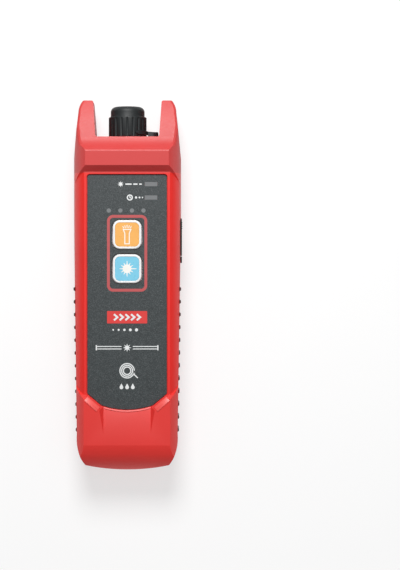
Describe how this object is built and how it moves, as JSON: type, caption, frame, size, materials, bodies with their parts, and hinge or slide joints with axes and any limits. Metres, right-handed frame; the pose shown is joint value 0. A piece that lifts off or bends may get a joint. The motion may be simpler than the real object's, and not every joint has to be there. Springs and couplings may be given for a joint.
{
  "type": "visual fault locator",
  "caption": "Hand-held visual fault locator: ribbed moulded body, two keys, indicator windows, capped ferrule port between two prongs, covered charging port on the side.",
  "frame": {"origin": "middle of the body on the surface it lies on, under the bounding box centre", "axes": "+Z out of the face panel, +Y towards the laser port, +X to the charging port's side"},
  "size_m": [0.044, 0.15, 0.026],
  "materials": {
    "red_shell": "fine moulded grain, satin",
    "overlay": "printed film, fine metallic speckle",
    "key_white": "smooth",
    "key_orange": "smooth",
    "key_blue": "smooth",
    "switch_black": "moulded",
    "silicone": "moulded",
    "window_grey": "frosted",
    "board_green": "solder mask",
    "connector_white": "moulded",
    "socket_steel": "drawn sheet",
    "black_rubber": "matt",
    "cell_wrap": "shrink wrap",
    "foam": "closed-cell foam",
    "brass": "turned",
    "lens_glass": "polished",
    "nickel": "nickel plated",
    "sleeve_ceramic": "ground zirconia",
    "cap_black": "moulded grain",
    "lamp_clear": "clear epoxy",
    "led_white": "resin"
  },
  "bodies": {
    "case": {"adapter_barrel": "nickel", "battery_cell": "cell_wrap", "battery_connector": "connector_white", "battery_foam": "foam", "battery_terminal": "socket_steel", "cap_strap": "black_rubber", "charge_light_guide": "window_grey", "charger_chip": "switch_black", "controller_chip": "switch_black", "face_panel": "overlay", "ferrule_sleeve": "sleeve_ceramic", "front_housing": "red_shell", "indicator_led_1": "led_white", "indicator_led_2": "led_white", "indicator_led_3": "led_white", "indicator_led_4": "led_white", "indicator_led_5": "led_white", "indicator_led_6": "led_white", "inductor": "switch_black", "key_mat": "silicone", "laser_diode": "brass", "laser_housing": "brass", "laser_lens": "lens_glass", "laser_switch": "switch_black", "laser_window": "window_grey", "main_board": "board_green", "port_cover_tail": "black_rubber", "power_window": "window_grey", "rear_housing": "red_shell", "torch_bezel": "switch_black", "torch_led": "lamp_clear", "torch_switch": "switch_black", "usb_socket_shell": "socket_steel", "usb_socket_tongue": "switch_black"},
    "torch_key": {"torch_key": "key_white", "torch_key_inlay": "key_orange", "torch_plunger": "switch_black"},
    "laser_key": {"laser_key": "key_white", "laser_key_inlay": "key_blue", "laser_plunger": "switch_black"},
    "port_cover": {"port_cover": "black_rubber"},
    "dust_cap": {"dust_cap": "cap_black"}
  },
  "joints": [
    {"name": "torch_press", "type": "slide", "parent": "case", "child": "torch_key", "axis": [0, 0, -1], "range_m": [0, 0.0005], "stiffness_N_per_m": 600},
    {"name": "laser_press", "type": "slide", "parent": "case", "child": "laser_key", "axis": [0, 0, -1], "range_m": [0, 0.0005], "stiffness_N_per_m": 600},
    {"name": "cover_swing", "type": "hinge", "parent": "case", "child": "port_cover", "pos_m": [0.02215, 0.01175, 0.0131], "axis": [0, 0, -1], "range_deg": [0, 110]},
    {"name": "cap_pull", "type": "slide", "parent": "case", "child": "dust_cap", "axis": [0, 1, 0], "range_m": [0, 0.03], "deforming": ["cap_strap"]}
  ]
}
